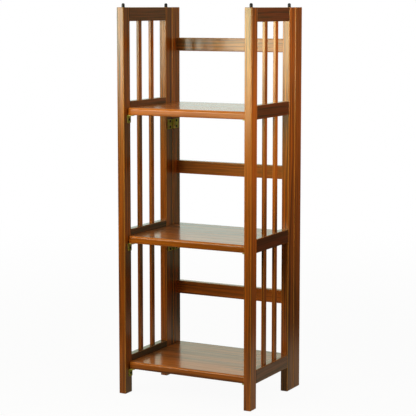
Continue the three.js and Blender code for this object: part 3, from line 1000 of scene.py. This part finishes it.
def lay_floor():
    """A pale floor. The camera sees it nearly white, with the rack's shadow on it."""
    deselect()
    bpy.ops.mesh.primitive_plane_add(size=FLOOR_SIZE)
    floor = settle("floor")
    material = new_material("matt white floor")
    tree = material.node_tree
    place = add_node(tree, "TexCoord")
    mottle = add_node(tree, "TexNoise", {"Vector": place.outputs["Object"], "Scale": 3.0})
    shade = add_node(tree, "ValToRGB", {"Fac": mottle.outputs["Fac"]})
    set_ramp(shade, FLOOR_GREY)
    rays = add_node(tree, "LightPath")
    tint = add_node(tree, "Mix", {0: rays.outputs["Is Camera Ray"], 6: linear(FLOOR_TINT),
                                  7: linear("#ffffff")}, data_type="RGBA")
    glow = add_node(tree, "Emission", {"Color": tint.outputs[2], "Strength": 1.0})
    far = add_node(tree, "VectorMath", {0: place.outputs["Object"]}, operation="LENGTH")
    paper = add_node(tree, "MapRange", {
        "Value": far.outputs["Value"], "From Min": PAPER_REACH[0], "From Max": PAPER_REACH[1],
        "To Min": PAPER_SHARE[0], "To Max": PAPER_SHARE[1]}, interpolation_type="SMOOTHSTEP")
    pool = add_node(tree, "MapRange", {
        "Value": far.outputs["Value"], "From Min": POOL_REACH[0], "From Max": POOL_REACH[1],
        "To Min": POOL_SHARE[0], "To Max": POOL_SHARE[1]}, interpolation_type="SMOOTHSTEP")
    mirror = add_node(tree, "Math", {0: rays.outputs["Is Glossy Ray"],
                                     1: rays.outputs["Is Transmission Ray"]}, operation="MAXIMUM")
    mirrored = add_node(tree, "Math", {0: mirror.outputs[0], 1: pool.outputs["Result"]},
                        operation="MULTIPLY")
    share = add_node(tree, "Math", {0: rays.outputs["Is Camera Ray"], 1: paper.outputs["Result"],
                                    2: mirrored.outputs[0]}, operation="MULTIPLY_ADD")
    bounce = add_node(tree, "Math", {0: pool.outputs["Result"],
                                     1: rays.outputs["Is Camera Ray"]}, operation="MAXIMUM")
    lit = add_node(tree, "VectorMath", {0: shade.outputs["Color"], 3: bounce.outputs[0]},
                   operation="SCALE")
    matt = add_node(tree, "BsdfDiffuse", {"Color": lit.outputs[0]})
    mix = add_node(tree, "MixShader", {0: share.outputs[0], 1: matt.outputs[0],
                                       2: glow.outputs[0]})
    add_node(tree, "OutputMaterial", {"Surface": mix.outputs[0]})
    floor.data.materials.append(material)


# What is mirrored of the room, by direction: white paper behind the rack and to its left, which
# ends a little to its right, and which dims and turns warmer as it rises.
PAPER_BEHIND = (0.0, 0.5)
PAPER_BESIDE = (0.25, -0.15)
PAPER_RISE = (0.12, 0.27)
PAPER_GLARE = (0.97, 0.6)
PAPER_LOW_TINT = "#ecfff9"
PAPER_HIGH_TINT = "#f6ffdc"
ROOM_TINT = "#f2ffd6"
ROOM_LIGHT = 0.14       # what the dim room gives to the rack
ROOM_MIRRORED = 0.05    # and what the rack mirrors of it


def set_world():
    """A white backdrop for what the camera sees and, behind the rack, for what its lacquer and
    metal mirror; the rest of the room is dim."""
    world = bpy.data.worlds.new("studio")
    world.use_nodes = True
    tree = world.node_tree
    tree.nodes.clear()
    direction = add_node(tree, "TexCoord")
    parts = add_node(tree, "SeparateXYZ", {0: direction.outputs["Generated"]})
    behind = add_node(tree, "MapRange", {
        "Value": parts.outputs["Y"], "From Min": PAPER_BEHIND[0], "From Max": PAPER_BEHIND[1]},
        interpolation_type="SMOOTHSTEP")
    beside = add_node(tree, "MapRange", {
        "Value": parts.outputs["X"], "From Min": PAPER_BESIDE[0], "From Max": PAPER_BESIDE[1]},
        interpolation_type="SMOOTHSTEP")
    sheet = add_node(tree, "Math", {0: behind.outputs["Result"], 1: beside.outputs["Result"]},
                     operation="MULTIPLY")
    rays = add_node(tree, "LightPath")
    mirrored = add_node(tree, "Math", {0: rays.outputs["Is Glossy Ray"], 1: sheet.outputs[0]},
                        operation="MULTIPLY")
    seen = add_node(tree, "Math", {0: rays.outputs["Is Camera Ray"],
                                   1: rays.outputs["Is Transmission Ray"]}, operation="MAXIMUM")
    white = add_node(tree, "Math", {0: seen.outputs[0], 1: mirrored.outputs[0]},
                     operation="MAXIMUM")
    dim = add_node(tree, "MapRange", {"Value": rays.outputs["Is Glossy Ray"],
                                      "To Min": ROOM_LIGHT, "To Max": ROOM_MIRRORED})
    room = add_node(tree, "Background", {"Color": linear(ROOM_TINT),
                                         "Strength": dim.outputs["Result"]})
    height = add_node(tree, "MapRange", {"Value": parts.outputs["Z"], "From Min": PAPER_RISE[0],
                                         "From Max": PAPER_RISE[1]})
    fall = add_node(tree, "MapRange", {"Value": height.outputs["Result"],
                                       "To Min": PAPER_GLARE[0], "To Max": PAPER_GLARE[1]})
    glare = add_node(tree, "Math", {0: fall.outputs["Result"], 1: seen.outputs[0]},
                     operation="MAXIMUM")
    sweep = add_node(tree, "Mix", {0: height.outputs["Result"], 6: linear(PAPER_LOW_TINT),
                                   7: linear(PAPER_HIGH_TINT)}, data_type="RGBA")
    tint = add_node(tree, "Mix", {0: seen.outputs[0], 6: sweep.outputs[2],
                                  7: linear("#ffffff")}, data_type="RGBA")
    paper = add_node(tree, "Background", {"Color": tint.outputs[2], "Strength": glare.outputs[0]})
    mix = add_node(tree, "MixShader", {0: white.outputs[0], 1: room.outputs[0],
                                       2: paper.outputs[0]})
    add_node(tree, "OutputWorld", {"Surface": mix.outputs[0]})
    bpy.context.scene.world = world


set_camera()
lay_floor()
set_world()
# Two boxes in front, cool and warm, brightest at their tops, show in the fronts of the posts.
soft_light("key", (-0.54, -0.95, 0.79), (-0.54, 0, 0.79), 0.42, 0.48, 7.1, "#fafff4", fade=0.8)
soft_light("warm", (-0.22, -0.95, 0.75), (-0.22, 0, 0.75), 0.26, 0.54, 8.4, "#fff9d2", fade=0.8)
# One more box lights the outer faces of the right side frame, most of all their tops.
soft_light("right", (0.8, 0.02, 0.86), (0.18, 0, 0.75), 0.4, 0.4, 5.4, "#fff0dc")
# Large boxes fill the shadows, and a dim card leaves a haze on the left side's inner faces.
soft_light("front", (-0.9, -1.6, 1.5), (0, 0, 0.35), 1.5, 1.1, 1.8, "#fff3e4", mirrored=False)
soft_light("back", (-1.9, 1.0, 1.2), (0, 0, 0.5), 1.0, 1.0, 2.2, "#fff6ea")
soft_light("card", (0.12, 0.55, 0.62), (-0.165, 0.1, 0.62), 0.3, 0.85, 0.12, "#f6ffcc")
soft_light("top", (0.2, -0.2, 2.4), (0, 0, 0), 1.2, 1.2, 2.6)

bpy.context.scene.view_settings.view_transform = "Standard"
